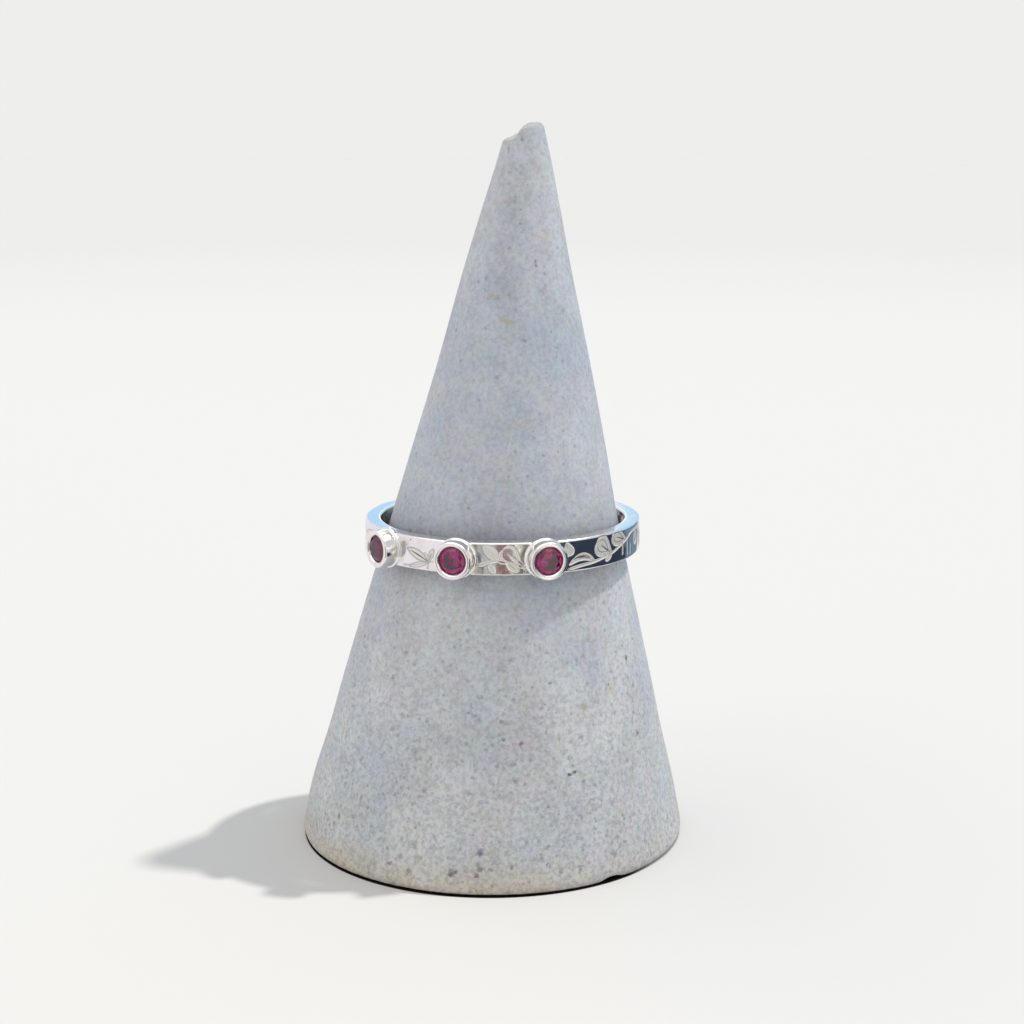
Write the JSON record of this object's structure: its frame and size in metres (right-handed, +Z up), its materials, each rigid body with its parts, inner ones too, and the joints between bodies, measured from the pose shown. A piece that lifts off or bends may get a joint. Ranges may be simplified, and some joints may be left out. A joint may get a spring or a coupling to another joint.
{
  "type": "stackable ring on a ring cone",
  "caption": "Silver stackable ring with bezel-set red stones and an engraved leafy vine, resting on a small leaning stoneware ring cone with a chipped tip.",
  "frame": {"origin": "centre of the cone's flat base, on the surface that it stands on", "axes": "+Z up from the base to the tip; -Y is the front, where the middle and right stones face; +X is the viewer's right"},
  "size_m": [0.0298, 0.0298, 0.0542],
  "materials": {
    "silver": "polished sterling silver with fine scratches and darkened engraving",
    "ruby": "round cut, polished, deep pinkish red",
    "stoneware": "matt pale blue-grey with fine dark specks"
  },
  "bodies": {
    "root": {"ring_band": "silver", "ruby_left": "ruby", "ruby_middle": "ruby", "ruby_right": "ruby", "ring_cone": "stoneware"}
  },
  "joints": []
}
